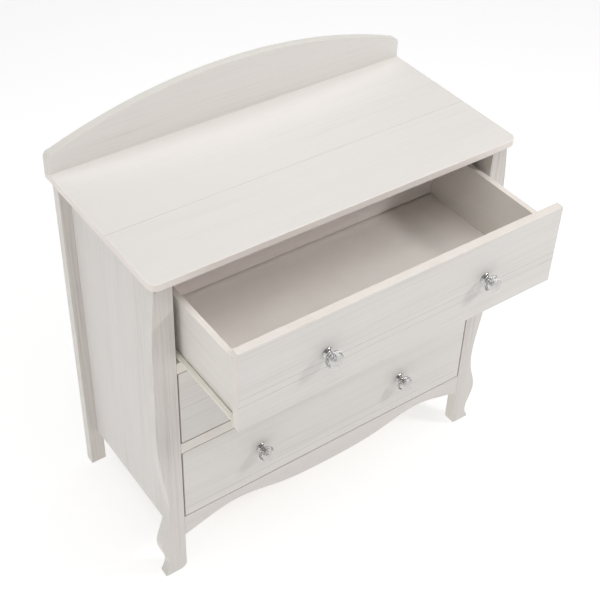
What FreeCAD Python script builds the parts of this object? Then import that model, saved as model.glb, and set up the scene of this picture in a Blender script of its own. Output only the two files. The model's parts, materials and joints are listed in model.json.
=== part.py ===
"""Three-drawer bedroom chest with an arched backsplash, shaped legs and roller runners.

Millimetres, +Z up, +X to the right seen from the front, +Y to the back.
The origin is on the floor on the centre line, midway between the knobs of the open
upper drawer and the rear faces of the rear legs. One STEP file is written per sub-part.
"""
import FreeCAD
import Part
import math
import os

Vec = FreeCAD.Vector
X, Y, Z = Vec(1, 0, 0), Vec(0, 1, 0), Vec(0, 0, 1)

# Overall case
FRONT_Y = -74.0             # front faces of the legs, rails and closed drawer fronts
CASE_DEPTH = 374.0          # front faces to the rear faces of the rear legs
REAR_Y = FRONT_Y + CASE_DEPTH

# Top board and backsplash
TOP_WIDTH = 800.0
TOP_Z = 782.0               # height of the upper surface
TOP_THICK = 14.0
TOP_OVERHANG = 14.0         # past the front faces
TOP_CORNER_R = 18.0
TOP_ARRIS_R = 1.2           # rounding of the upper edge
SPLASH_THICK = 18.0
SPLASH_END_HEIGHT = 44.0
SPLASH_MID_HEIGHT = 113.0
SPLASH_CORNER_R = 14.0
SPLASH_REBATE = 3.0         # depth it is let into the top board
SPLASH_SCREW_X = (-300.0, -100.0, 100.0, 300.0)

# Legs and side panels
LEG_THICK = 22.0            # front to back
LEG_INNER_X = 354.0         # half the clear width between the legs
REAR_LEG_WIDTH = 34.0
LEG_TOE_R = 16.0            # inner bottom corner of a front leg
SIDE_THICK = 12.0
SIDE_BOTTOM_Z = 92.0
# Outer edge of a front leg: distance from its inner edge and height, from top to toe
LEG_EDGE = [
    (35.0, TOP_Z - TOP_THICK), (44.5, 660.0), (48.0, 500.0), (45.5, 320.0), (34.5, 182.0),
    (43.5, 143.0), (54.3, 98.0), (46.5, 64.0), (39.2, 32.0), (43.5, 15.0), (48.5, 5.0),
]

# Front openings, from the floor up: apron, drawer, rail, drawer, rail, drawer, top rail
APRON_TOP_Z = 157.0
APRON_THICK = 18.0
APRON_LOW_Z = 103.0         # lowest points of the wave: the middle and both ends
APRON_HIGH_Z = 131.0        # crests of the wave
APRON_CREST_X = 245.0
APRON_CAM_Z = 138.0         # height of the cam locks in its rear face
FRONT_HEIGHTS = {"lower": 182.0, "middle": 178.0, "upper": 174.0}
FRONT_GAP = 2.0             # above and below each drawer front
FRONT_SIDE_GAP = 3.0
RAIL_HEIGHT = 25.0
RAIL_DEPTH = 20.0

# Back
BACK_THICK = 3.0
BACK_Y = FRONT_Y + 342.0
BACK_GROOVE = 4.0           # depth of the grooves that hold the back panel
REAR_RAIL_HEIGHT = 60.0
REAR_RAIL_THICK = 16.0

# Drawers
FRONT_THICK = 17.0
FRONT_ARRIS_R = 1.5
BOX_LENGTH = 320.0
BOX_BOARD = 12.0
BOX_HEIGHT = 132.0
BOX_RISE = 4.0              # box sides start this far above the bottom edge of the front
BOTTOM_RISE = 6.0           # drawer bottom above the lower edge of the sides
BOTTOM_THICK = 3.0
BOTTOM_GROOVE = 4.0
OPEN_BY = {"lower": 0.0, "middle": 0.0, "upper": 193.0}

# Roller runners
RUNNER_GAP = 12.5           # between a drawer side and the cabinet side
STEEL = 1.2
FLANGE_RISE = 9.0           # top of the drawer runner's flange above the drawer side's edge
ROLLER_R = 6.0
ROLLER_WIDTH = 6.4
ROLLER_BORE_R = 2.0
PIN_R = 1.95
ROLL_CLEAR = 0.3
ROLLER_SIDE_CLEAR = 0.9     # between a roller and the drawer runner's web
EDGE_CLEAR = 0.4            # between a roller and the flange's turned-down edge
EDGE_DROP = 3.0             # depth of the turned-down edge from the top of the flange
ROOF_CLEAR = 0.8            # between the flange and the channel's roof
ROOF_INSET = 1.5            # roof narrower than the channel's floor
LIP_INSET = 1.5             # lip narrower than the drawer side's thickness
RUNNER_START = 24.0         # cabinet runner's front end behind the front faces
RUNNER_LENGTH = 316.0
RUNNER_SCREW_Y = (52.0, 180.0, 310.0)   # behind the front faces
FRONT_ROLLER_Y = 33.0       # behind the front faces
REAR_ROLLER_Y = 327.0       # the same, with the drawer closed

# Knobs
KNOB_X = 175.0
KNOB_SIDES = 12
KNOB_SCREW_R = 2.0
CRYSTAL_BORE_R = 2.05
KNOB_HOLE_R = 2.2           # through the base and the drawer front
BASE_FLANGE_R = 11.0
BASE_NECK_R = 6.0
BASE_LENGTH = 9.0
# Rings of the faceted crystal: radius and distance from the drawer front
KNOB_RINGS = [(7.0, 9.0), (13.4, 12.5), (17.2, 18.5), (15.6, 24.5), (11.3, 30.0), (6.5, 33.0)]

# Fasteners
CAM_R = 7.5
CAM_DEPTH = 12.0
CAM_INSET = 24.0            # cam centre from the end of its board
BOLT_R = 3.0
BOLT_IN_LEG = 11.0

SIDE_SIGNS = {"left": -1, "right": 1}


def box(x0, x1, y0, y1, z0, z1):
    """Box between two opposite corners."""
    low = Vec(min(x0, x1), min(y0, y1), min(z0, z1))
    return Part.makeBox(abs(x1 - x0), abs(y1 - y0), abs(z1 - z0), low)


def rod(start, direction, radius, length):
    """Cylinder from a start point along a direction."""
    return Part.makeCylinder(radius, length, start, direction)


def line(a, b):
    """Straight edge between two points."""
    return Part.LineSegment(a, b).toShape()


def arc(a, middle, b):
    """Circular edge through three points."""
    return Part.Arc(a, middle, b).toShape()


def spline(points):
    """Smooth edge through the points."""
    curve = Part.BSplineCurve()
    curve.interpolate(points)
    return curve.toShape()


def mirrored(shape):
    """The same shape on the other side of the centre line."""
    return shape.mirror(Vec(0, 0, 0), X)


def on_side(shape, sign):
    """A shape modelled on the right, moved to the side with this sign."""
    return shape if sign > 0 else mirrored(shape)


def front_bottoms():
    """Height of the bottom edge of each drawer front."""
    bottoms = {}
    z = APRON_TOP_Z + FRONT_GAP
    for name in ("lower", "middle", "upper"):
        bottoms[name] = z
        z += FRONT_HEIGHTS[name] + 2 * FRONT_GAP + RAIL_HEIGHT
    return bottoms


def underside_z():
    """Height of the underside of the top board."""
    return TOP_Z - TOP_THICK


# ---- case -------------------------------------------------------------------------------


def top_board():
    """Top board with rounded front corners and upper edges, rebated for the backsplash."""
    half = TOP_WIDTH / 2
    front = FRONT_Y - TOP_OVERHANG
    r = TOP_CORNER_R
    k = r * (1 - math.sqrt(0.5))
    z = underside_z()
    p = [
        Vec(-half, REAR_Y, z), Vec(-half, front + r, z), Vec(-half + k, front + k, z),
        Vec(-half + r, front, z), Vec(half - r, front, z), Vec(half - k, front + k, z),
        Vec(half, front + r, z), Vec(half, REAR_Y, z),
    ]
    edges = [line(p[0], p[1]), arc(p[1], p[2], p[3]), line(p[3], p[4]),
             arc(p[4], p[5], p[6]), line(p[6], p[7]), line(p[7], p[0])]
    board = Part.Face(Part.Wire(edges)).extrude(Z * TOP_THICK)
    rims = [e for e in board.Edges
            if abs(e.CenterOfMass.z - TOP_Z) < 0.01 and abs(e.CenterOfMass.y - REAR_Y) > 1]
    rebate = box(-half - 1, half + 1, REAR_Y - SPLASH_THICK, REAR_Y + 1,
                 TOP_Z - SPLASH_REBATE, TOP_Z + 1)
    return board.makeFillet(TOP_ARRIS_R, rims).cut(rebate)


def backsplash():
    """Arched board that stands in the rebate along the rear of the top board."""
    half = TOP_WIDTH / 2
    r = SPLASH_CORNER_R
    k = r * (1 - math.sqrt(0.5))
    y = REAR_Y - SPLASH_THICK
    base = TOP_Z - SPLASH_REBATE
    low, high = TOP_Z + SPLASH_END_HEIGHT, TOP_Z + SPLASH_MID_HEIGHT
    p = [
        Vec(-half, y, base), Vec(half, y, base), Vec(half, y, low - r),
        Vec(half - k, y, low - k), Vec(half - r, y, low), Vec(0, y, high),
        Vec(-half + r, y, low), Vec(-half + k, y, low - k), Vec(-half, y, low - r),
    ]
    edges = [line(p[0], p[1]), line(p[1], p[2]), arc(p[2], p[3], p[4]),
             arc(p[4], p[5], p[6]), arc(p[6], p[7], p[8]), line(p[8], p[0])]
    return Part.Face(Part.Wire(edges)).extrude(Y * SPLASH_THICK)


def front_leg(sign):
    """Flat board with a straight inner edge and a shaped outer edge."""
    y, r = FRONT_Y, LEG_TOE_R
    k = r * (1 - math.sqrt(0.5))
    inner = LEG_INNER_X
    outer = [Vec(inner + width, y, z) for width, z in LEG_EDGE]
    toe = Vec(inner + LEG_EDGE[-1][0], y, 0)
    heel = Vec(inner + r, y, 0)
    corner = Vec(inner, y, r)
    top = Vec(inner, y, underside_z())
    edges = [line(top, outer[0]), spline(outer), line(outer[-1], toe), line(toe, heel),
             arc(heel, Vec(inner + k, y, k), corner), line(corner, top)]
    leg = Part.Face(Part.Wire(edges)).extrude(Y * LEG_THICK)
    return on_side(leg, sign)


def rear_leg(sign):
    """Straight board behind the side panel."""
    leg = box(LEG_INNER_X, LEG_INNER_X + REAR_LEG_WIDTH, REAR_Y - LEG_THICK, REAR_Y,
              0, underside_z())
    return on_side(leg, sign)


def side_panel(sign):
    """Panel between the legs, set in from their outer edges, grooved for the back panel."""
    panel = box(LEG_INNER_X, LEG_INNER_X + SIDE_THICK, FRONT_Y + LEG_THICK,
                REAR_Y - LEG_THICK, SIDE_BOTTOM_Z, underside_z())
    groove = box(LEG_INNER_X - 1, LEG_INNER_X + BACK_GROOVE, BACK_Y, BACK_Y + BACK_THICK,
                 SIDE_BOTTOM_Z - 1, underside_z())
    return on_side(panel.cut(groove), sign)


def back_panel():
    """Thin panel held in the grooves of the side panels."""
    half = LEG_INNER_X + BACK_GROOVE
    return box(-half, half, BACK_Y, BACK_Y + BACK_THICK, SIDE_BOTTOM_Z, underside_z())


def rail(bottom_z, height):
    """Front rail between the front legs."""
    return box(-LEG_INNER_X, LEG_INNER_X, FRONT_Y, FRONT_Y + RAIL_DEPTH,
               bottom_z, bottom_z + height)


def rear_rail():
    """Rail between the rear legs, behind the back panel."""
    y = BACK_Y + BACK_THICK
    return box(-LEG_INNER_X, LEG_INNER_X, y, y + REAR_RAIL_THICK,
               SIDE_BOTTOM_Z, SIDE_BOTTOM_Z + REAR_RAIL_HEIGHT)


def apron():
    """Board under the lower drawer with a wavy lower edge."""
    y, half = FRONT_Y, LEG_INNER_X
    wave = [(0.0, APRON_LOW_Z), (APRON_CREST_X / 2, APRON_LOW_Z + 0.3 * (APRON_HIGH_Z - APRON_LOW_Z)),
            (APRON_CREST_X, APRON_HIGH_Z), (APRON_CREST_X + 68, APRON_LOW_Z + 12), (half, APRON_LOW_Z)]
    right = [Vec(x, y, z) for x, z in wave]
    left = [Vec(-p.x, y, p.z) for p in reversed(right[1:])]
    top_right, top_left = Vec(half, y, APRON_TOP_Z), Vec(-half, y, APRON_TOP_Z)
    edges = [spline(left + right), line(right[-1], top_right), line(top_right, top_left),
             line(top_left, left[0])]
    return Part.Face(Part.Wire(edges)).extrude(Y * APRON_THICK)


# ---- fasteners of the case --------------------------------------------------------------


def screw(head, direction, shank_r, length, head_r, head_height):
    """Pan-head screw: its head's underside is at `head`, its shank runs along `direction`."""
    shank = rod(head, direction, shank_r, length)
    cap = rod(head - direction * head_height, direction, head_r, head_height)
    return cap.fuse(shank)


def flush_screw(head, direction, shank_r, length, head_r):
    """Countersunk screw whose head is flush at `head`."""
    cone = Part.makeCone(head_r, shank_r, head_r - shank_r, head, direction)
    return cone.fuse(rod(head, direction, shank_r, length)).removeSplitter()


def cam_joints():
    """Cam locks and their bolts: one joint at each end of the rails, apron and rear rail."""
    bottoms = front_bottoms()
    rail_y = FRONT_Y + RAIL_DEPTH / 2
    places = []
    for name in ("middle", "upper"):
        z = bottoms[name] - FRONT_GAP - RAIL_HEIGHT
        places.append((Vec(0, rail_y, z), Z, z + CAM_DEPTH / 2, rail_y))
    apron_back = FRONT_Y + APRON_THICK
    places.append((Vec(0, apron_back, APRON_CAM_Z), Y * -1, APRON_CAM_Z,
                   apron_back - CAM_DEPTH / 2))
    rear_back = BACK_Y + BACK_THICK + REAR_RAIL_THICK
    rear_z = SIDE_BOTTOM_Z + REAR_RAIL_HEIGHT / 2
    places.append((Vec(0, rear_back, rear_z), Y * -1, rear_z, rear_back - CAM_DEPTH / 2))
    cams, bolts = [], []
    for mouth, inward, bolt_z, bolt_y in places:
        for sign in SIDE_SIGNS.values():
            x = LEG_INNER_X - CAM_INSET
            cam = rod(Vec(x, mouth.y, mouth.z), inward, CAM_R, CAM_DEPTH)
            bolt = rod(Vec(x, bolt_y, bolt_z), X, BOLT_R, CAM_INSET + BOLT_IN_LEG)
            cams.append(on_side(cam, sign))
            bolts.append(on_side(bolt.cut(cam), sign))
    return cams, bolts


def backsplash_screws():
    """Screws driven up through the top board into the backsplash."""
    y = REAR_Y - SPLASH_THICK / 2
    return [flush_screw(Vec(x, y, underside_z()), Z, 2.0, 40.0, 4.0)
            for x in SPLASH_SCREW_X]


# ---- runners ----------------------------------------------------------------------------


def wall_x():
    """Inner face of the cabinet's right side."""
    return LEG_INNER_X


def box_outer_x():
    """Outer face of the right drawer side."""
    return wall_x() - RUNNER_GAP


def roller_centre(name, y):
    """Centre of a right-hand roller's inner end, at a distance y behind the front faces."""
    x = box_outer_x() + STEEL + ROLLER_SIDE_CLEAR
    flange_under = front_bottoms()[name] + BOX_RISE + FLANGE_RISE - STEEL
    return Vec(x, FRONT_Y + y, flange_under - ROLL_CLEAR - ROLLER_R)


def roller(name, y):
    """Nylon roller with a bore for its pin."""
    centre = roller_centre(name, y)
    wheel = rod(centre, X, ROLLER_R, ROLLER_WIDTH)
    bore = rod(centre - X, X, ROLLER_BORE_R, ROLLER_WIDTH + 2)
    return wheel.cut(bore)


def cabinet_runner(name):
    """Right cabinet runner: web, floor and roof of a steel channel, and a roller's pin."""
    centre = roller_centre(name, FRONT_ROLLER_Y)
    y0 = FRONT_Y + RUNNER_START
    y1 = y0 + RUNNER_LENGTH
    web_x = wall_x() - STEEL
    floor_top = centre.z - ROLLER_R - ROLL_CLEAR
    roof_under = front_bottoms()[name] + BOX_RISE + FLANGE_RISE + ROOF_CLEAR
    web = box(web_x, wall_x(), y0, y1, floor_top - STEEL, roof_under + STEEL)
    floor = box(centre.x, web_x, y0, y1, floor_top - STEEL, floor_top)
    roof = box(centre.x + ROOF_INSET, web_x, y0, y1, roof_under, roof_under + STEEL)
    pin = rod(centre, X, PIN_R, web_x - centre.x)
    return Part.makeCompound([web, floor, roof, pin])


def runner_screw_points(name):
    """Heads of the screws that hold a right cabinet runner to the side panel."""
    z = roller_centre(name, 0).z - 2.0
    return [Vec(wall_x() - STEEL, FRONT_Y + y, z) for y in RUNNER_SCREW_Y]


def runner_screws():
    """All screws of the six cabinet runners."""
    screws = []
    for name in FRONT_HEIGHTS:
        for point in runner_screw_points(name):
            one = screw(point, X, 1.5, 10.0, 3.0, 1.4)
            screws += [on_side(one, sign) for sign in SIDE_SIGNS.values()]
    return screws


def drawer_runner(name):
    """Right drawer runner: angle under the side, flange that rides on the roller, and a pin."""
    centre = roller_centre(name, REAR_ROLLER_Y)
    side_x = box_outer_x()
    low = front_bottoms()[name] + BOX_RISE
    top = low + FLANGE_RISE
    y0 = FRONT_Y + FRONT_THICK
    y1 = y0 + BOX_LENGTH
    edge_x = centre.x + ROLLER_WIDTH + EDGE_CLEAR
    lip = box(side_x - BOX_BOARD + LIP_INSET, side_x, y0, y1, low - STEEL, low)
    web = box(side_x, side_x + STEEL, y0, y1, low - STEEL, top)
    flange = box(side_x + STEEL, edge_x + STEEL, y0, y1, top - STEEL, top)
    edge = box(edge_x, edge_x + STEEL, y0, y1, top - EDGE_DROP, top - STEEL)
    pin = rod(Vec(side_x + STEEL, centre.y, centre.z), X, PIN_R,
              ROLLER_SIDE_CLEAR + ROLLER_WIDTH)
    angle = lip.fuse(web).removeSplitter()
    return Part.makeCompound([angle, flange.fuse(edge).removeSplitter(), pin])


# ---- drawers ----------------------------------------------------------------------------


def knob_points(name):
    """Centres of the two knobs on the front face of a closed drawer."""
    z = front_bottoms()[name] + FRONT_HEIGHTS[name] / 2
    return [Vec(sign * KNOB_X, FRONT_Y, z) for sign in SIDE_SIGNS.values()]


def facet_solid(centre, rings, count):
    """Closed solid of flat facets between rings that are turned half a step each."""
    loops = []
    for i, (radius, distance) in enumerate(rings):
        turn = math.pi / count * (i % 2)
        loops.append([
            Vec(centre.x + radius * math.cos(turn + 2 * math.pi * k / count),
                centre.y - distance,
                centre.z + radius * math.sin(turn + 2 * math.pi * k / count))
            for k in range(count)])
    faces = [Part.Face(Part.makePolygon(loop + loop[:1])) for loop in (loops[0], loops[-1])]
    for i in range(len(loops) - 1):
        a, b = loops[i], loops[i + 1]
        shift = i % 2
        for k in range(count):
            n = (k + 1) % count
            tip = b[(k + shift) % count]
            faces.append(Part.Face(Part.makePolygon([a[k], a[n], tip, a[k]])))
            base = a[(k + 1 - shift) % count]
            faces.append(Part.Face(Part.makePolygon([b[k], b[n], base, b[k]])))
    solid = Part.makeSolid(Part.makeShell(faces))
    if solid.Volume < 0:
        solid.reverse()
    return solid


def crystal(point):
    """Faceted crystal of a knob, bored for its screw."""
    body = facet_solid(point, KNOB_RINGS, KNOB_SIDES)
    bore = rod(point - Y * (BASE_LENGTH - 1), Y * -1, CRYSTAL_BORE_R, 12.0)
    return body.cut(bore)


def knob_base(point):
    """Turned metal base between the crystal and the drawer front."""
    flange = rod(point, Y * -1, BASE_FLANGE_R, 2.0)
    cone = Part.makeCone(BASE_FLANGE_R - 2.0, BASE_NECK_R, 3.0, point - Y * 2.0, Y * -1)
    neck = rod(point - Y * 5.0, Y * -1, BASE_NECK_R, BASE_LENGTH - 5.0)
    bore = rod(point + Y, Y * -1, KNOB_HOLE_R, BASE_LENGTH + 2)
    return flange.fuse([cone, neck]).removeSplitter().cut(bore)


def knob_screw(point):
    """Machine screw from the inside of the front into the crystal."""
    return screw(point + Y * FRONT_THICK, Y * -1, KNOB_SCREW_R,
                 FRONT_THICK + BASE_LENGTH + 10.0, 4.0, 2.4)


def drawer_front(name):
    """Inset front with eased edges, a groove for the bottom and holes for the knob screws."""
    half = LEG_INNER_X - FRONT_SIDE_GAP
    z = front_bottoms()[name]
    board = box(-half, half, FRONT_Y, FRONT_Y + FRONT_THICK, z, z + FRONT_HEIGHTS[name])
    rims = [e for e in board.Edges if abs(e.CenterOfMass.y - FRONT_Y) < 0.01]
    board = board.makeFillet(FRONT_ARRIS_R, rims)
    return board.cut(drawer_bottom(name)).cut(
        Part.makeCompound([rod(p - Y, Y, KNOB_HOLE_R, FRONT_THICK + 2)
                           for p in knob_points(name)]))


def drawer_bottom(name):
    """Thin bottom held in grooves of the front and the sides."""
    half = box_outer_x() - BOX_BOARD + BOTTOM_GROOVE
    z = front_bottoms()[name] + BOX_RISE + BOTTOM_RISE
    y = FRONT_Y + FRONT_THICK
    return box(-half, half, y - BOTTOM_GROOVE, y + BOX_LENGTH, z, z + BOTTOM_THICK)


def drawer_side(name):
    """Right side of a drawer box, grooved for the bottom."""
    x = box_outer_x()
    z = front_bottoms()[name] + BOX_RISE
    y = FRONT_Y + FRONT_THICK
    board = box(x - BOX_BOARD, x, y, y + BOX_LENGTH, z, z + BOX_HEIGHT)
    return board.cut(drawer_bottom(name))


def drawer_back(name):
    """Back of a drawer box, between the sides and above the bottom."""
    half = box_outer_x() - BOX_BOARD
    low = front_bottoms()[name] + BOX_RISE
    y = FRONT_Y + FRONT_THICK + BOX_LENGTH
    return box(-half, half, y - BOX_BOARD, y, low + BOTTOM_RISE + BOTTOM_THICK,
               low + BOX_HEIGHT)


def box_screws(name):
    """Right-hand screws of a drawer: two into the back board, three up through the runner."""
    x = box_outer_x()
    low = front_bottoms()[name] + BOX_RISE
    rear = FRONT_Y + FRONT_THICK + BOX_LENGTH
    screws = [flush_screw(Vec(x, rear - BOX_BOARD / 2, low + up), X * -1, 1.5, 38.0, 3.5)
              for up in (40.0, 105.0)]
    for y in (60.0, 170.0, 280.0):
        head = Vec(x - BOX_BOARD / 2, FRONT_Y + y, low - STEEL)
        screws.append(screw(head, Z, 1.5, 14.0, 3.0, 1.3))
    return screws


def drawer(name):
    """All sub-parts of one drawer, moved out by the amount it stands open."""
    points = knob_points(name)
    screws = [on_side(s, sign) for sign in SIDE_SIGNS.values() for s in box_screws(name)]
    cutter = Part.makeCompound(screws)
    parts = {
        "front": drawer_front(name),
        "back": drawer_back(name).cut(cutter),
        "bottom": drawer_bottom(name),
        "crystals": Part.makeCompound([crystal(p) for p in points]),
        "knob_bases": Part.makeCompound([knob_base(p) for p in points]),
        "screws": Part.makeCompound(screws + [knob_screw(p) for p in points]),
        "rollers": Part.makeCompound(
            [on_side(roller(name, REAR_ROLLER_Y), sign) for sign in SIDE_SIGNS.values()]),
    }
    for side, sign in SIDE_SIGNS.items():
        parts["side_" + side] = on_side(drawer_side(name), sign).cut(cutter)
        parts["runner_" + side] = on_side(drawer_runner(name), sign).cut(cutter)
    out = Vec(0, -OPEN_BY[name], 0)
    return {f"{name}_drawer_{key}": shape.translated(out) for key, shape in parts.items()}


# ---- assembly ---------------------------------------------------------------------------


def case():
    """All fixed sub-parts of the chest."""
    bottoms = front_bottoms()
    cams, bolts = cam_joints()
    splash_screws = backsplash_screws()
    screws = runner_screws()
    joints = Part.makeCompound(cams + bolts)
    held = Part.makeCompound(screws)
    up = Part.makeCompound(splash_screws)
    top_rail_z = bottoms["upper"] + FRONT_HEIGHTS["upper"] + FRONT_GAP
    parts = {
        "top_board": top_board().cut(up),
        "backsplash": backsplash().cut(up),
        "back_panel": back_panel(),
        "top_rail": rail(top_rail_z, underside_z() - top_rail_z),
        "rail_upper": rail(bottoms["upper"] - FRONT_GAP - RAIL_HEIGHT, RAIL_HEIGHT).cut(joints),
        "rail_lower": rail(bottoms["middle"] - FRONT_GAP - RAIL_HEIGHT, RAIL_HEIGHT).cut(joints),
        "rear_rail": rear_rail().cut(joints),
        "apron": apron().cut(joints),
        "cam_locks": Part.makeCompound(cams),
        "cam_bolts": Part.makeCompound(bolts),
        "backsplash_screws": up,
        "runner_screws": held,
    }
    for side, sign in SIDE_SIGNS.items():
        parts["front_leg_" + side] = front_leg(sign).cut(joints)
        parts["rear_leg_" + side] = rear_leg(sign).cut(joints)
        parts["side_panel_" + side] = side_panel(sign).cut(joints).cut(held)
        for name in FRONT_HEIGHTS:
            runner = on_side(cabinet_runner(name), sign)
            parts[f"cabinet_runner_{name}_{side}"] = runner.cut(held)
    for name in FRONT_HEIGHTS:
        pair = [on_side(roller(name, FRONT_ROLLER_Y), sign) for sign in SIDE_SIGNS.values()]
        parts["cabinet_rollers_" + name] = Part.makeCompound(pair)
    return parts


def main():
    """Write one STEP file for each sub-part."""
    os.makedirs("parts", exist_ok=True)
    nodes = case()
    for name in FRONT_HEIGHTS:
        nodes.update(drawer(name))
    for node, shape in sorted(nodes.items()):
        shape.exportStep(f"parts/{node}.step")
    print(len(nodes), "sub-parts")


main()
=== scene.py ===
"""Looks of a white wood-effect chest of three drawers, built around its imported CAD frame."""

import json
import logging
import math
from collections.abc import Callable, Sequence
from dataclasses import dataclass, field
from enum import Enum

import bmesh
import bpy
from mathutils import Matrix, Vector


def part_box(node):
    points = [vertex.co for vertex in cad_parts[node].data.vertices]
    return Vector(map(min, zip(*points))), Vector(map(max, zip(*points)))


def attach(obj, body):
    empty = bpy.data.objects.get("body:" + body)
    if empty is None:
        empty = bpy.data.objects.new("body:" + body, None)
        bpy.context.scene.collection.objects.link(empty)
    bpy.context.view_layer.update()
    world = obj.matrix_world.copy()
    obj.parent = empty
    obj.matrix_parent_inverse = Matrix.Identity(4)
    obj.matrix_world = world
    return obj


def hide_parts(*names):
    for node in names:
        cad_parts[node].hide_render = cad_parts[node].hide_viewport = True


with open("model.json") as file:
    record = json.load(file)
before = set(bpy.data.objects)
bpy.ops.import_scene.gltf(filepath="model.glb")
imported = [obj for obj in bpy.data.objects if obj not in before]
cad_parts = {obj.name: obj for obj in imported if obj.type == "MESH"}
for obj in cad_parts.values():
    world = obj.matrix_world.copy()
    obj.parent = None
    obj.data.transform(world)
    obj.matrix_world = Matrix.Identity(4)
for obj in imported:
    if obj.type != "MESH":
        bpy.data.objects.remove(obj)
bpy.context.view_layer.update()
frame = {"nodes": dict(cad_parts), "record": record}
LOG = logging.getLogger("chest")
MM = 0.001

Point2 = tuple[float, float]
Triple = tuple[float, float, float]
Colour = Triple
# Outline of a board, the axis it is extruded along, and where it starts and ends on it
Blank = tuple[list[Point2], "Axis", float, float]
Socket = bpy.types.NodeSocket
Material = bpy.types.Material
Piece = bpy.types.Object
WHITE: Colour = (1.0, 1.0, 1.0)
# Part of a face's unit normal along an axis
SQUARE_ON = 0.995           # the face is square to it
BARE_FROM = 0.9             # the face belongs to a bare edge
FACING = 0.5                # the face is on this side of the sheet
GROOVE_TILT = (0.8, 0.9999)     # the face is a flank of a seam's groove


class Axis(Enum):
    """An axis of the chest's frame: X to the right, Y to the back, Z up."""

    X = 0
    Y = 1
    Z = 2

    def point(self, u: float, v: float, w: float) -> Vector:
        """Point at w along this axis and at u, v along the other two, in X, Y, Z order."""
        return Vector((*(u, v)[:self.value], w, *(u, v)[self.value:]))

    def unit(self) -> Vector:
        """Unit vector along this axis."""
        return self.point(0.0, 0.0, 1.0)


class Side(Enum):
    """Left or right half of the chest, seen from the front."""

    LEFT = -1
    RIGHT = 1

    @property
    def label(self) -> str:
        """The side's name as the frame spells it."""
        return self.name.lower()


class Row(Enum):
    """The three rows of drawers."""

    UPPER = "upper"
    MIDDLE = "middle"
    LOWER = "lower"

    @property
    def drawer(self) -> str:
        """Name of the row's drawer body."""
        return f"{self.value}_drawer"


class Skin(Enum):
    """What a face of a board is covered with. The values are material indices."""

    FOIL = 0
    BAND = 1
    SEAM = 2
    CORE = 3


# ---- finishes ---------------------------------------------------------------------------


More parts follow.
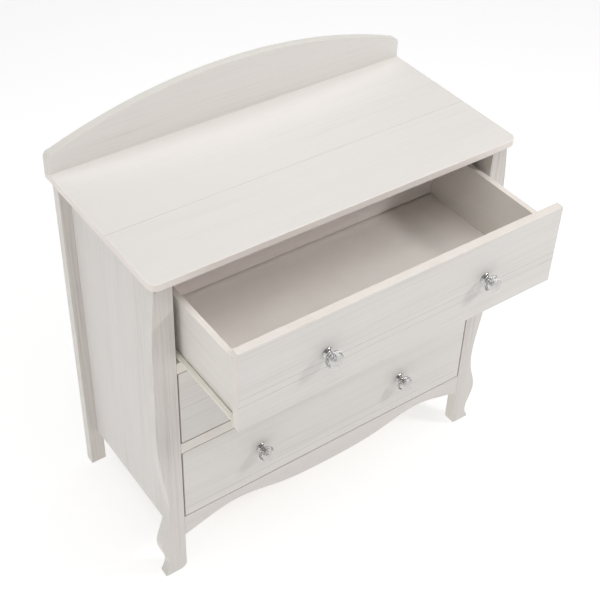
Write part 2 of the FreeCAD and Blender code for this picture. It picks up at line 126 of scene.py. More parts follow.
class Nodes:
    """Short way to lay out one material's nodes."""

    def __init__(self, name: str) -> None:
        """Start an empty material with a Principled shader.

        Args:
            name: The material's name.
        """
        self.material = bpy.data.materials.new(name)
        self.material.use_nodes = True
        self.tree = self.material.node_tree
        self.shader = self.tree.nodes["Principled BSDF"]
        self.place = self.add("ShaderNodeTexCoord").outputs["Object"]

    def add(self, kind: str, **settings: object) -> bpy.types.Node:
        """Add a node.

        Args:
            kind: The node's type.
            **settings: Properties to set on it.

        Returns:
            The new node.
        """
        node = self.tree.nodes.new(kind)
        for key, value in settings.items():
            setattr(node, key, value)
        return node

    def link(self, source: Socket, target: Socket) -> None:
        """Join an output to an input."""
        self.tree.links.new(source, target)

    def scaled(self, source: Socket, scale: Sequence[float],
               shift: Sequence[float] = (0.0, 0.0, 0.0)) -> Socket:
        """Stretch coordinates.

        Args:
            source: The coordinates.
            scale: Factor along each axis.
            shift: Distance added after the scaling.

        Returns:
            The stretched coordinates.
        """
        node = self.add("ShaderNodeMapping")
        node.inputs["Scale"].default_value = scale
        node.inputs["Location"].default_value = shift
        self.link(source, node.inputs["Vector"])
        return node.outputs["Vector"]

    def noise(self, source: Socket, detail: float = 2.0, roughness: float = 0.5,
              scale: float = 1.0) -> bpy.types.Node:
        """Noise over some coordinates.

        Args:
            source: The coordinates.
            detail: Octaves of finer noise.
            roughness: Strength of the finer octaves.
            scale: Features in each unit of the coordinates.

        Returns:
            The noise node.
        """
        node = self.add("ShaderNodeTexNoise")
        node.inputs["Scale"].default_value = scale
        node.inputs["Detail"].default_value = detail
        node.inputs["Roughness"].default_value = roughness
        self.link(source, node.inputs["Vector"])
        return node

    def span(self, source: Socket, low: float, high: float,
             to_low: float = 0.0, to_high: float = 1.0) -> Socket:
        """Map a range of values to another, held at its ends.

        Args:
            source: The value.
            low: Start of its range.
            high: End of its range.
            to_low: Result at the start.
            to_high: Result at the end.

        Returns:
            The mapped value.
        """
        node = self.add("ShaderNodeMapRange")
        for key, value in (("From Min", low), ("From Max", high),
                           ("To Min", to_low), ("To Max", to_high)):
            node.inputs[key].default_value = value
        self.link(source, node.inputs["Value"])
        return node.outputs["Result"]

    def maths(self, operation: str, a: Socket | float,
              b: Socket | float) -> Socket:
        """Combine two values.

        Args:
            operation: The Math node's operation.
            a: First value or socket.
            b: Second value or socket.

        Returns:
            The result.
        """
        node = self.add("ShaderNodeMath", operation=operation)
        for socket, value in zip(node.inputs, (a, b)):
            if isinstance(value, (int, float)):
                socket.default_value = value
            else:
                self.link(value, socket)
        return node.outputs[0]

    def blend(self, factor: Socket, a: Colour | Socket,
              b: Colour | Socket) -> Socket:
        """Mix two colours.

        Args:
            factor: Share of the second colour.
            a: First colour or socket.
            b: Second colour or socket.

        Returns:
            The mixed colour.
        """
        node = self.add("ShaderNodeMix", data_type="RGBA")
        self.link(factor, node.inputs["Factor"])
        for socket, value in ((node.inputs[6], a), (node.inputs[7], b)):
            if isinstance(value, tuple):
                socket.default_value = (*value, 1.0)
            else:
                self.link(value, socket)
        return node.outputs[2]

    def tint(self, factor: Socket, a: Colour, b: Colour) -> None:
        """Colour the shader between two colours."""
        self.link(self.blend(factor, a, b), self.shader.inputs["Base Color"])

    def dull(self, source: Socket, low: float, high: float, roughness: float,
             more: float) -> None:
        """Vary the shader's roughness.

        Args:
            source: The value that it follows.
            low: Value where it is lowest.
            high: Value where it is highest.
            roughness: Lowest roughness.
            more: How much the highest is above it.
        """
        self.link(self.span(source, low, high, roughness, roughness + more),
                  self.shader.inputs["Roughness"])

    def emboss(self, height: Socket, strength: float, depth: float) -> None:
        """Drive the shader's normal from a height.

        Args:
            height: The height, 0 to 1.
            strength: Share of the effect.
            depth: Height of 1, in metres.
        """
        node = self.add("ShaderNodeBump")
        node.inputs["Strength"].default_value = strength
        node.inputs["Distance"].default_value = depth
        self.link(height, node.inputs["Height"])
        self.link(node.outputs["Normal"], self.shader.inputs["Normal"])


@dataclass(frozen=True)
class Streaks:
    """Marks of one size in a wood grain."""

    length: float
    pitch: float
    faint: float            # noise value where a mark begins to show
    full: float             # noise value where it shows in full
    detail: float = 2.0
    roughness: float = 0.5

    def lay(self, n: Nodes, place: Socket, grain: Axis,
            shift: Sequence[float]) -> Socket:
        """Lay the marks along the grain.

        Args:
            n: The material's nodes.
            place: Coordinates on the board, in metres.
            grain: Axis that the grain runs along.
            shift: Shift that picks the board's own stretch of grain.

        Returns:
            Strength of the marks, 0 to 1.
        """
        scale = [1.0 / (self.length if a is grain else self.pitch) for a in Axis]
        marks = n.noise(n.scaled(place, scale, shift), self.detail, self.roughness)
        return n.span(marks.outputs["Fac"], self.faint, self.full)


FINE_LINES = Streaks(260.0 * MM, 3.2 * MM, 0.46, 0.74, detail=3.0, roughness=0.62)
BROAD_LINES = Streaks(260.0 * MM, 7.0 * MM, 0.46, 0.74, detail=3.0, roughness=0.62)


@dataclass(frozen=True)
class WoodFoil:
    """White foil with an embossed, softly printed wood grain."""

    light: Colour = (0.765, 0.738, 0.708)
    shade: Colour = (0.610, 0.572, 0.532)
    roughness: float = 0.46
    rougher: float = 0.12
    gloss: float = 0.42
    lines: Streaks = FINE_LINES
    bands: Streaks = Streaks(0.7, 48.0 * MM, 0.42, 0.70)
    pores: Streaks = Streaks(16.0 * MM, 0.9 * MM, 0.58, 0.72, detail=1.0)
    # Share of the shade that each mark brings
    line_share: float = 0.16
    band_share: float = 0.10
    both_share: float = 0.46
    pore_share: float = 0.12
    # How far the lines wander across the grain, and how often in a metre
    drift: float = 14.0 * MM
    drifts: float = 1.6
    stride: Triple = (3.17, 1.93, 2.41)     # shift from one board's grain to the next
    relief: float = 0.35
    depth: float = 0.25 * MM

    def material(self, grain: Axis, seed: int) -> Material:
        """Make the foil for one board.

        Args:
            grain: Axis that the grain runs along.
            seed: Number that picks the board's own stretch of grain.

        Returns:
            The material.
        """
        n = Nodes(f"wood_foil_{grain.name.lower()}_{seed}")
        shift = tuple(step * seed for step in self.stride)
        wave = n.noise(n.scaled(n.place, [self.drifts] * 3, shift), detail=1.0)
        bend = n.add("ShaderNodeVectorMath", operation="MULTIPLY_ADD")
        n.link(wave.outputs["Color"], bend.inputs[0])
        bend.inputs[1].default_value = [0.0 if a is grain else self.drift for a in Axis]
        n.link(n.place, bend.inputs[2])
        line, band, pore = (marks.lay(n, bend.outputs[0], grain, shift)
                            for marks in (self.lines, self.bands, self.pores))

        mixed = n.maths("ADD", n.maths("MULTIPLY", line, self.line_share),
                        n.maths("MULTIPLY", band, self.band_share))
        mixed = n.maths("ADD", mixed, n.maths("MULTIPLY", n.maths("MULTIPLY", line, band),
                                              self.both_share))
        mixed = n.maths("ADD", mixed, n.maths("MULTIPLY", pore, self.pore_share))
        n.tint(mixed, self.light, self.shade)
        n.dull(line, 0.0, 1.0, self.roughness, self.rougher)
        sunk = n.maths("ADD", n.maths("MULTIPLY", line, 0.5), n.maths("MULTIPLY", pore, 0.5))
        n.emboss(n.maths("SUBTRACT", 1.0, sunk), self.relief, self.depth)
        n.shader.inputs["Specular IOR Level"].default_value = self.gloss
        return n.material


@dataclass(frozen=True)
class EdgeBand:
    """Thin banding glued round the edges of a board."""

    name: str = "edge_band"
    tone: Colour = (0.785, 0.735, 0.685)
    worn: Colour = (0.700, 0.640, 0.580)
    roughness: float = 0.40
    rougher: float = 0.15
    rubs: float = 22.0              # rubbed patches in a metre
    rub_range: Point2 = (0.45, 0.75)
    rub_share: float = 0.5
    specks: float = 900.0           # in a metre
    speck_range: Point2 = (0.55, 0.80)
    speck_share: float = 0.35
    relief: float = 0.12
    depth: float = 0.08 * MM

    def material(self) -> Material:
        """Make the banding.

        Returns:
            The material.
        """
        n = Nodes(self.name)
        broad = n.noise(n.place, scale=self.rubs, detail=3.0)
        fine = n.noise(n.place, scale=self.specks, detail=2.0)
        rub = n.span(broad.outputs["Fac"], *self.rub_range)
        speck = n.span(fine.outputs["Fac"], *self.speck_range, 0.0, self.speck_share)
        wear = n.maths("MAXIMUM", n.maths("MULTIPLY", rub, self.rub_share), speck)
        n.tint(wear, self.tone, self.worn)
        n.dull(rub, 0.0, 1.0, self.roughness, self.rougher)
        n.emboss(fine.outputs["Fac"], self.relief, self.depth)
        return n.material


@dataclass(frozen=True)
class Seam:
    """Bottom of a shallow groove between two printed planks."""

    tone: Colour = (0.630, 0.595, 0.560)
    dust: Colour = (0.540, 0.500, 0.465)
    patches: float = 34.0           # dusty patches in a metre
    patch_range: Point2 = (0.4, 0.7)
    roughness: float = 0.6
    relief: float = 0.2
    depth: float = 0.1 * MM

    def material(self) -> Material:
        """Make the groove's finish.

        Returns:
            The material.
        """
        n = Nodes("plank_seam")
        patch = n.noise(n.place, scale=self.patches, detail=4.0)
        n.tint(n.span(patch.outputs["Fac"], *self.patch_range), self.tone, self.dust)
        n.shader.inputs["Roughness"].default_value = self.roughness
        n.emboss(patch.outputs["Fac"], self.relief, self.depth)
        return n.material


@dataclass(frozen=True)
class BareBoard:
    """Sawn edge of particle board, left bare where it doesn't show."""

    chip: Colour = (0.52, 0.40, 0.27)
    glue: Colour = (0.30, 0.21, 0.13)
    flakes: Triple = (300.0, 300.0, 620.0)      # in a metre along X, Y and Z
    flake_range: Point2 = (0.1, 0.7)
    roughness: float = 0.85
    relief: float = 0.5
    depth: float = 0.3 * MM

    def material(self) -> Material:
        """Make the bare board.

        Returns:
            The material.
        """
        n = Nodes("bare_board")
        flakes = n.add("ShaderNodeTexVoronoi")
        flakes.inputs["Scale"].default_value = 1.0
        n.link(n.scaled(n.place, self.flakes), flakes.inputs["Vector"])
        n.tint(n.span(flakes.outputs["Distance"], *self.flake_range), self.chip, self.glue)
        n.shader.inputs["Roughness"].default_value = self.roughness
        n.emboss(flakes.outputs["Distance"], self.relief, self.depth)
        return n.material


@dataclass(frozen=True)
class FacedSheet:
    """Thin fibreboard, faced white on one side and bare on the other."""

    name: str = "faced_sheet"
    tone: Colour = (0.72, 0.672, 0.625)
    fibre: Colour = (0.62, 0.565, 0.515)
    roughness: float = 0.55
    rougher: float = 0.15
    clouds: float = 9.0                         # in a metre
    cloud_range: Point2 = (0.4, 0.7)
    fibres: Triple = (700.0, 240.0, 700.0)      # in a metre along X, Y and Z
    fibre_range: Point2 = (0.5, 0.75)
    relief: float = 0.2
    depth: float = 0.1 * MM

    def material(self) -> Material:
        """Make the sheet's face.

        Returns:
            The material.
        """
        n = Nodes(self.name)
        cloud = n.noise(n.place, scale=self.clouds, detail=4.0, roughness=0.6)
        fibres = n.noise(n.scaled(n.place, self.fibres), detail=3.0)
        halves = [n.maths("MULTIPLY", n.span(noise.outputs["Fac"], *ends), 0.5)
                  for noise, ends in ((cloud, self.cloud_range), (fibres, self.fibre_range))]
        n.tint(n.maths("ADD", *halves), self.tone, self.fibre)
        n.dull(cloud.outputs["Fac"], 0.3, 0.7, self.roughness, self.rougher)
        n.emboss(fibres.outputs["Fac"], self.relief, self.depth)
        return n.material


@dataclass(frozen=True)
class Metal:
    """Bare or plated metal with fine scratches."""

    name: str
    tone: Colour
    dull: Colour
    roughness: float
    scratch: float = 0.1
    clouds: float = 140.0                       # in a metre
    cloud_range: Point2 = (0.4, 0.7)
    scuffs: Triple = (2600.0, 300.0, 2600.0)    # in a metre along X, Y and Z
    scuff_range: Point2 = (0.35, 0.7)
    relief: float = 0.08
    depth: float = 0.03 * MM

    def material(self) -> Material:
        """Make the metal.

        Returns:
            The material.
        """
        n = Nodes(self.name)
        cloud = n.noise(n.place, scale=self.clouds, detail=3.0)
        scuffs = n.noise(n.scaled(n.place, self.scuffs), detail=2.0)
        n.tint(n.span(cloud.outputs["Fac"], *self.cloud_range), self.tone, self.dull)
        n.dull(scuffs.outputs["Fac"], *self.scuff_range, self.roughness, self.scratch)
        n.shader.inputs["Metallic"].default_value = 1.0
        n.emboss(scuffs.outputs["Fac"], self.relief, self.depth)
        return n.material


@dataclass(frozen=True)
class Enamel:
    """Smooth coat or moulded plastic with a slight orange peel."""

    name: str
    tone: Colour
    grime: Colour
    roughness: float
    rougher: float = 0.1
    clouds: float = 45.0            # in a metre
    cloud_range: Point2 = (0.5, 0.8)
    dimples: float = 1400.0         # in a metre
    relief: float = 0.12
    depth: float = 0.05 * MM

    def material(self) -> Material:
        """Make the coat.

        Returns:
            The material.
        """
        n = Nodes(self.name)
        cloud = n.noise(n.place, scale=self.clouds, detail=3.0)
        peel = n.noise(n.place, scale=self.dimples, detail=1.0)
        n.tint(n.span(cloud.outputs["Fac"], *self.cloud_range), self.tone, self.grime)
        n.dull(cloud.outputs["Fac"], 0.3, 0.7, self.roughness, self.rougher)
        n.emboss(peel.outputs["Fac"], self.relief, self.depth)
        return n.material


@dataclass(frozen=True)
class CutCrystal:
    """Clear cut crystal of the knobs."""

    tone: Colour = (0.93, 0.932, 0.935)
    haze: Colour = (0.88, 0.882, 0.885)
    index: float = 1.62
    roughness: float = 0.012
    clouds: float = 160.0           # in a metre
    cloud_range: Point2 = (0.45, 0.75)

    def material(self) -> Material:
        """Make the crystal.

        Returns:
            The material.
        """
        n = Nodes("cut_crystal")
        cloud = n.noise(n.place, scale=self.clouds, detail=2.0)
        n.tint(n.span(cloud.outputs["Fac"], *self.cloud_range), self.tone, self.haze)
        n.shader.inputs["Transmission Weight"].default_value = 1.0
        n.shader.inputs["IOR"].default_value = self.index
        n.shader.inputs["Roughness"].default_value = self.roughness
        return n.material


@dataclass
class Palette:
    """Every finish of the chest, each made once, and the foil once for each board."""

    foil: WoodFoil = WoodFoil()
    box_foil: WoodFoil = WoodFoil(light=(0.785, 0.750, 0.705), shade=(0.68, 0.635, 0.580),
                                  lines=BROAD_LINES)
    top_foil: WoodFoil = WoodFoil(light=(0.757, 0.730, 0.701), shade=(0.680, 0.650, 0.618))
    # Drawer backs: a lighter, pinker copy of the box foil, with painted warm light bounced off
    # things kept in the drawer
    bounce_lit_back_foil: WoodFoil = WoodFoil(light=(0.840, 0.772, 0.750), shade=(0.70, 0.630, 0.605),
                                   lines=BROAD_LINES)
    leg_foil: WoodFoil = WoodFoil(light=(0.728, 0.690, 0.655), shade=(0.420, 0.385, 0.350))
    apron_foil: WoodFoil = WoodFoil(light=(0.745, 0.705, 0.675), shade=(0.58, 0.535, 0.495))
    made: dict[str, Material] = field(default_factory=dict)
    count: int = 0

    def stock(self) -> None:
        """Make the finishes that every board and fitting shares."""
        finishes = {
            "band": EdgeBand(),
            "pale_band": EdgeBand("pale_band", (0.740, 0.712, 0.672), (0.69, 0.66, 0.615)),
            "top_band": EdgeBand("top_band", (0.860, 0.795, 0.750), (0.80, 0.725, 0.675)),
            "seam": Seam(),
            "core": BareBoard(),
            "sheet": FacedSheet(tone=(0.84, 0.79, 0.745), fibre=(0.75, 0.70, 0.655)),
            "sheet_rear": FacedSheet("sheet_rear", (0.50, 0.42, 0.33), (0.40, 0.32, 0.24), 0.8),
            "zinc": Metal("zinc_plate", (0.62, 0.63, 0.65), (0.48, 0.48, 0.50), 0.32),
            "chrome": Metal("bright_chrome", (0.56, 0.55, 0.55), (0.42, 0.41, 0.405), 0.12, 0.08),
            "epoxy": Enamel("white_epoxy", (0.80, 0.80, 0.775), (0.74, 0.735, 0.70), 0.30),
            "cream_epoxy": Enamel("cream_epoxy", (0.87, 0.85, 0.765), (0.82, 0.79, 0.70), 0.34),
            "nylon": Enamel("natural_nylon", (0.78, 0.77, 0.72), (0.68, 0.665, 0.61), 0.42),
            "crystal": CutCrystal(),
        }
        for key, finish in finishes.items():
            self.made[key] = finish.material()

    def sheet(self) -> list[Material]:
        """Materials of a thin sheet: its white face, then its bare one."""
        return [self.made["sheet"], self.made["sheet_rear"]]

    def board(self, grain: Axis, foil: WoodFoil | None = None,
              band: str = "band") -> list[Material]:
        """Materials of one board, in the order of Skin.

        Args:
            grain: Axis that its grain runs along.
            foil: Its foil, if it isn't the outer one.
            band: Banding on its edges.

        Returns:
            One material for each Skin.
        """
        self.count += 1
        return [(foil or self.foil).material(grain, self.count), self.made[band],
                self.made["seam"], self.made["core"]]


# ---- outlines ---------------------------------------------------------------------------


def arc_points(centre: Point2, radius: float, start: float, end: float,
               steps: int) -> list[Point2]:
    """Points along a circular arc.

    Args:
        centre: Centre of the circle.
        radius: Its radius.
        start: First angle in degrees.
        end: Last angle in degrees.
        steps: Number of chords.

    Returns:
        The points, both ends included.
    """
    angles = [math.radians(start + (end - start) * i / steps) for i in range(steps + 1)]
    return [(centre[0] + radius * math.cos(a), centre[1] + radius * math.sin(a)) for a in angles]


def arc_through(a: Point2, b: Point2, c: Point2, steps: int) -> list[Point2]:
    """Points along the arc through three points.

    Args:
        a: First end.
        b: A point between the ends.
        c: Second end.
        steps: Number of chords.

    Returns:
        The points, both ends included.
    """
    (ax, ay), (bx, by), (cx, cy) = a, b, c
    d = 2.0 * (ax * (by - cy) + bx * (cy - ay) + cx * (ay - by))
    sa, sb, sc = ax * ax + ay * ay, bx * bx + by * by, cx * cx + cy * cy
    x = (sa * (by - cy) + sb * (cy - ay) + sc * (ay - by)) / d
    y = (sa * (cx - bx) + sb * (ax - cx) + sc * (bx - ax)) / d
    first, last = (math.degrees(math.atan2(p[1] - y, p[0] - x)) for p in (a, c))
    return arc_points((x, y), math.hypot(ax - x, ay - y), first, last, steps)


def smooth_curve(points: Sequence[Point2], steps: int) -> list[Point2]:
    """Smooth cubic curve through some points, with natural ends.

    Args:
        points: The points it passes through.
        steps: Chords between each two points.

    Returns:
        The points of the curve, both ends included.
    """
    count = len(points)
    t = [0.0]
    for p, q in zip(points, points[1:]):
        t.append(t[-1] + math.dist(p, q))
    result: list[list[float]] = []
    for k in (0, 1):
        y = [p[k] for p in points]
        slope = [0.0] * count
        upper = [0.0] * count
        for i in range(1, count - 1):
            h0, h1 = t[i] - t[i - 1], t[i + 1] - t[i]
            pivot = 2.0 * (h0 + h1) - h0 * upper[i - 1]
            upper[i] = h1 / pivot
            rate = 6.0 * ((y[i + 1] - y[i]) / h1 - (y[i] - y[i - 1]) / h0)
            slope[i] = (rate - h0 * slope[i - 1]) / pivot
        for i in range(count - 2, 0, -1):
            slope[i] -= upper[i] * slope[i + 1]
        values = []
        for i in range(count - 1):
            h = t[i + 1] - t[i]
            for s in range(steps):
                b = s / steps
                a = 1.0 - b
                values.append(a * y[i] + b * y[i + 1] + h * h / 6.0 * (
                    (a ** 3 - a) * slope[i] + (b ** 3 - b) * slope[i + 1]))
        result.append(values + [y[-1]])
    return list(zip(*result))


def rectangle(u0: float, u1: float, v0: float, v1: float) -> list[Point2]:
    """Outline of a rectangle between two corners."""
    return [(u0, v0), (u1, v0), (u1, v1), (u0, v1)]


# ---- workshop ---------------------------------------------------------------------------


SHARP = math.radians(32.0)   # edges that turn by more stay sharp
HAIR = 1e-6                  # metres; less than any real distance here
RANKING = Vector((1.0, 31.7, 977.3))


def settle(obj: Piece) -> Piece:
    """Shade a mesh smooth between its sharp edges, with flat faces left flat.

    Args:
        obj: The object.

    Returns:
        The object.
    """
    obj.data.shade_smooth()
    obj.data.set_sharp_from_angle(angle=SHARP)
    weigh = obj.modifiers.new("even_shading", "WEIGHTED_NORMAL")
    weigh.keep_sharp = True
    return obj


def as_object(name: str, bm: bmesh.types.BMesh,
              materials: Sequence[Material]) -> Piece:
    """Turn a worked mesh into an object of the scene.

    Args:
        name: The object's name.
        bm: The mesh, which is freed.
        materials: Its materials, in the order of the faces' indices.

    Returns:
        The object.
    """
    mesh = bpy.data.meshes.new(name)
    bm.to_mesh(mesh)
    bm.free()
    for material in materials:
        mesh.materials.append(material)
    obj = bpy.data.objects.new(name, mesh)
    bpy.context.scene.collection.objects.link(obj)
    return obj


def rank(element: bmesh.types.BMVert | bmesh.types.BMEdge | bmesh.types.BMFace) -> float:
    """Number that puts the parts of a mesh in the same order on every run.

    Args:
        element: A vertex, edge or face.

    Returns:
        The number, from where the element lies.
    """
    corners = getattr(element, "verts", [element])
    middle = sum((v.co for v in corners), Vector()) / len(corners)
    return middle.dot(RANKING)


class Workpiece:
    """A solid being worked in the shop: sawn to an outline, then eased, scored and cut."""

    def __init__(self) -> None:
        """Start with nothing on the bench."""
        self.bm = bmesh.new()

    def saw(self, outline: Sequence[Point2], axis: Axis, low: float, high: float) -> "Workpiece":
        """Add a prism.

        Args:
            outline: Its closed outline, across the axis.
            axis: Axis that it is extruded along.
            low: Where it starts.
            high: Where it ends.

        Returns:
            This workpiece.
        """
        rings = [[self.bm.verts.new(axis.point(u, v, w)) for u, v in outline]
                 for w in (low, high)]
        faces = [self.bm.faces.new(rings[0]), self.bm.faces.new(rings[1])]
        for i, start in enumerate(rings[0]):
            j = (i + 1) % len(outline)
            faces.append(self.bm.faces.new((start, rings[0][j], rings[1][j], rings[1][i])))
        bmesh.ops.recalc_face_normals(self.bm, faces=faces)
        return self

    def turn(self, profile: Sequence[Point2], axis: Axis, centre: Vector,
             steps: int = 32) -> "Workpiece":
        """Add a solid turned on a lathe.

        Args:
            profile: Points of (radius, distance along the axis), closed or ending on the axis.
            axis: Axis of the lathe.
            centre: Point that distances start from.
            steps: Number of facets round it.

        Returns:
            This workpiece.
        """
        loops = []
        for radius, along in profile:
            ring = []
            for k in range(steps if radius > HAIR else 1):
                a = 2.0 * math.pi * k / steps
                ring.append(self.bm.verts.new(
                    centre + axis.point(radius * math.cos(a), radius * math.sin(a), along)))
            loops.append(ring)
        if profile[0][0] > HAIR:
            loops.append(loops[0])
        faces = []
        for a, b in zip(loops, loops[1:]):
            for k in range(steps):
                corners = [a[k % len(a)], a[(k + 1) % len(a)], b[(k + 1) % len(b)], b[k % len(b)]]
                unique = list(dict.fromkeys(corners))
                if len(unique) > 2:
                    faces.append(self.bm.faces.new(unique))
        bmesh.ops.recalc_face_normals(self.bm, faces=faces)
        return self

    def ease(self, radius: float, steps: int = 2,
             where: Callable[[Vector], bool] = lambda middle: True) -> "Workpiece":
        """Round over sharp edges.

        Args:
            radius: Size of the rounding.
            steps: Facets across it.
            where: Test of an edge's middle point.

        Returns:
            This workpiece.
        """
        edges = [e for e in self.bm.edges if len(e.link_faces) == 2
                 and e.calc_face_angle(0.0) > SHARP
                 and where((e.verts[0].co + e.verts[1].co) / 2.0)]
        bmesh.ops.bevel(self.bm, geom=edges, offset=radius, segments=steps, profile=0.5,
                        affect="EDGES", clamp_overlap=True)
        return self

    def score(self, face: Axis, level: float, across: Axis, at: float,
              width: float, depth: float) -> "Workpiece":
        """Cut a shallow V-groove right across a flat face.

        Args:
            face: Axis that the face looks along.
            level: Where the face is on that axis.
            across: Axis that the groove's place is measured on.
            at: The groove's place.
            width: Its width.
            depth: Its depth, negative where the face looks along +axis.

        Returns:
            This workpiece.
        """
        for shift in (-width / 2.0, 0.0, width / 2.0):
            parts = [*self.bm.verts, *self.bm.edges, *self.bm.faces]
            bmesh.ops.bisect_plane(self.bm, geom=parts, dist=HAIR,
                                   plane_co=across.unit() * (at + shift),
                                   plane_no=across.unit())
        for v in self.bm.verts:
            if abs(v.co[across.value] - at) < HAIR and abs(v.co[face.value] - level) < HAIR:
                v.co[face.value] += depth
        for elements in (self.bm.verts, self.bm.edges, self.bm.faces):
            elements.sort(key=rank)
            elements.index_update()
        return self

    def paint(self, choose: Callable[[bmesh.types.BMFace], int]) -> "Workpiece":
        """Choose each face's material.

        Args:
            choose: Gives a face's material index.

        Returns:
            This workpiece.
        """
        self.bm.normal_update()
        for f in self.bm.faces:
            f.material_index = choose(f)
        return self


@dataclass
class Board:
    """A flat board: foil on its two wide faces, banding or bare board round its edges."""

    node: str
    wide: Axis
    grain: Axis
    bare: tuple[tuple[Axis, int], ...] = ()
    arris: float = 0.6 * MM
    foil: WoodFoil | None = None
    band: str = "band"

    def skin(self, face: bmesh.types.BMFace) -> int:
        """Covering of one face, by where it looks.

        Args:
            face: The face.

        Returns:
            The index of its Skin.
        """
        if abs(face.normal[self.wide.value]) > SQUARE_ON:
            return Skin.FOIL.value
        for axis, sign in self.bare:
            if face.normal[axis.value] * sign > BARE_FROM:
                return Skin.CORE.value
        return Skin.BAND.value

    def outline(self) -> Blank:
        """Rectangle of the CAD board.

        Returns:
            The blank.
        """
        low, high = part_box(self.node)
        u, v = (a.value for a in Axis if a is not self.wide)
        w = self.wide.value
        return rectangle(low[u], high[u], low[v], high[v]), self.wide, low[w], high[w]

    def work(self) -> Workpiece:
        """Saw the board and ease all its arrises."""
        return Workpiece().saw(*self.outline()).ease(self.arris)

    def build(self, palette: Palette, body: str) -> Piece:
        """Make the board and put it in place of its CAD node.

        Args:
            palette: The finishes.
            body: CAD body that it rides on.

        Returns:
            The board.
        """
        materials = palette.board(self.grain, self.foil, self.band)
        obj = as_object(f"{self.node}_board", self.work().paint(self.skin).bm, materials)
        return fit(settle(obj), body, self.node)


def slot_of(node: str) -> str:
    """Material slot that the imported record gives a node."""
    return next(s["material_slot"] for s in frame["record"]["subparts"] if s["node"] == node)


def fit(obj: Piece, body: str, node: str) -> Piece:
    """Hang a piece on its body in place of a CAD node.

    Args:
        obj: The piece.
        body: CAD body that it rides on.
        node: CAD node that it stands for.

    Returns:
        The piece.
    """
    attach(obj, body)
    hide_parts(node)
    return obj


@dataclass
class PlankedBoard(Board):
    """Board whose face is scored to look like separate planks."""

    seam_width: float = 1.3 * MM
    seam_depth: float = 0.12 * MM

    def levels(self) -> list[float]:
        """Places of the seams along their axis."""
        return []

    def skin(self, face: bmesh.types.BMFace) -> int:
        """Covering of one face, the seams included.

        Args:
            face: The face.

        Returns:
            The index of its Skin.
        """
        least, most = GROOVE_TILT
        across = Axis.Y if self.wide is Axis.Z else Axis.Z
        place = face.calc_center_median()[across.value]
        if least < abs(face.normal[self.wide.value]) < most and any(
                abs(place - level) < self.seam_width for level in self.levels()):
            return Skin.SEAM.value
        return super().skin(face)


# ---- case -------------------------------------------------------------------------------


@dataclass
class TopBoard(PlankedBoard):
    """Top with rounded front corners, a rounded upper edge and a plank seam."""

    corner: float = 18.0 * MM
    corner_steps: int = 14
    round_over: float = 1.2 * MM
    seams: tuple[float, ...] = (72.0 * MM,)

    def levels(self) -> list[float]:
        """Distances of the seams behind the origin."""
        return list(self.seams)

    def work(self) -> Workpiece:
        """Saw the top with its corners, round its upper edge and score the seams.

        Returns:
            The top.
        """
        low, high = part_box(self.node)
        r = self.corner
        outline = [(high.x, high.y), (low.x, high.y)]
        outline += arc_points((low.x + r, low.y + r), r, 180.0, 270.0, self.corner_steps)
        outline += arc_points((high.x - r, low.y + r), r, 270.0, 360.0, self.corner_steps)
        middle = (low.z + high.z) / 2.0
        piece = Workpiece().saw(outline, Axis.Z, low.z, high.z)
        piece.ease(self.round_over, 4, lambda m: m.z > middle and m.y < high.y - HAIR)
        piece.ease(self.arris, 2, lambda m: m.z < middle)
        for y in self.seams:
            piece.score(Axis.Z, high.z, Axis.Y, y, self.seam_width, -self.seam_depth)
        return piece


@dataclass
class Backsplash(Board):
    """Arched board standing on the rear of the top."""

    end_height: float = 44.0 * MM
    corner: float = 14.0 * MM
    corner_steps: int = 8
    arch_steps: int = 64

    def outline(self) -> Blank:
        """Arch between two rounded ends.

        Returns:
            The blank.
        """
        low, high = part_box(self.node)
        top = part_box("top_board")[1].z
        r = self.corner
        shoulder = top + self.end_height
        points = [(low.x, low.z), (high.x, low.z)]
        ends = (high.x - r, shoulder), (low.x + r, shoulder)
        points += arc_points((high.x - r, shoulder - r), r, 0.0, 90.0, self.corner_steps)[:-1]
        points += arc_through(ends[0], (0.0, high.z), ends[1], self.arch_steps)
        points += arc_points((low.x + r, shoulder - r), r, 90.0, 180.0, self.corner_steps)[1:]
        return points, Axis.Y, low.y, high.y


@dataclass
class FrontLeg(Board):
    """Flat leg with a straight inner edge and a shaped outer edge."""

    side: Side = Side.RIGHT
    toe: float = 16.0 * MM
    steps: int = 8
    # Outer edge from top to toe: distance from the inner edge, and height; mm
    edge: tuple[Point2, ...] = (
        (35.0, 766.0), (44.5, 660.0), (48.0, 500.0), (45.5, 320.0), (34.5, 182.0),
        (43.5, 143.0), (54.3, 98.0), (46.5, 64.0), (39.2, 32.0), (43.5, 15.0), (48.5, 5.0))

    def outline(self) -> Blank:
        """Leg's outline, mirrored on the left.

        Returns:
            The blank.
        """
        low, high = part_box(self.node)
        sign = self.side.value
        inner = min(abs(low.x), abs(high.x))
        curve = smooth_curve([(inner + w * MM, z * MM) for w, z in self.edge], self.steps)
        heel = arc_points((inner + self.toe, self.toe), self.toe, 270.0, 180.0, self.steps)
        points = curve + [(curve[-1][0], 0.0)] + heel + [(inner, high.z)]
        return [(x * sign, z) for x, z in points], Axis.Y, low.y, high.y


